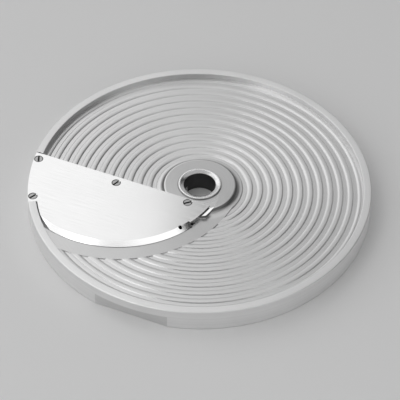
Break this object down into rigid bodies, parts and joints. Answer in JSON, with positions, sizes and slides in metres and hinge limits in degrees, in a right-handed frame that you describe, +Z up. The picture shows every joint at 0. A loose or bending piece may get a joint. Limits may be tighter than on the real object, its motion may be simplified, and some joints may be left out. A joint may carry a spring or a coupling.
{
  "type": "food processor slicing disc",
  "caption": "Round cast aluminium slicing disc with concentric ridges, a raised rim, a screwed crescent blade over a slice throat and a steel-bushed hub bore.",
  "frame": {"origin": "centre of the disc on the bore's axis, at the foot of the rim", "axes": "+Z up along the bore's axis, towards the blade; the blade's back edge runs from the hub towards -X and a little +Y"},
  "size_m": [0.205, 0.205, 0.014],
  "materials": {
    "cast_aluminium": "turned satin",
    "blade_steel": "ground, bright",
    "bush_steel": "turned, bright",
    "screw_steel": "plain"
  },
  "bodies": {
    "root": {"disc_body": "cast_aluminium", "slicing_blade": "blade_steel", "hub_bush": "bush_steel", "blade_screws": "screw_steel"}
  },
  "joints": []
}
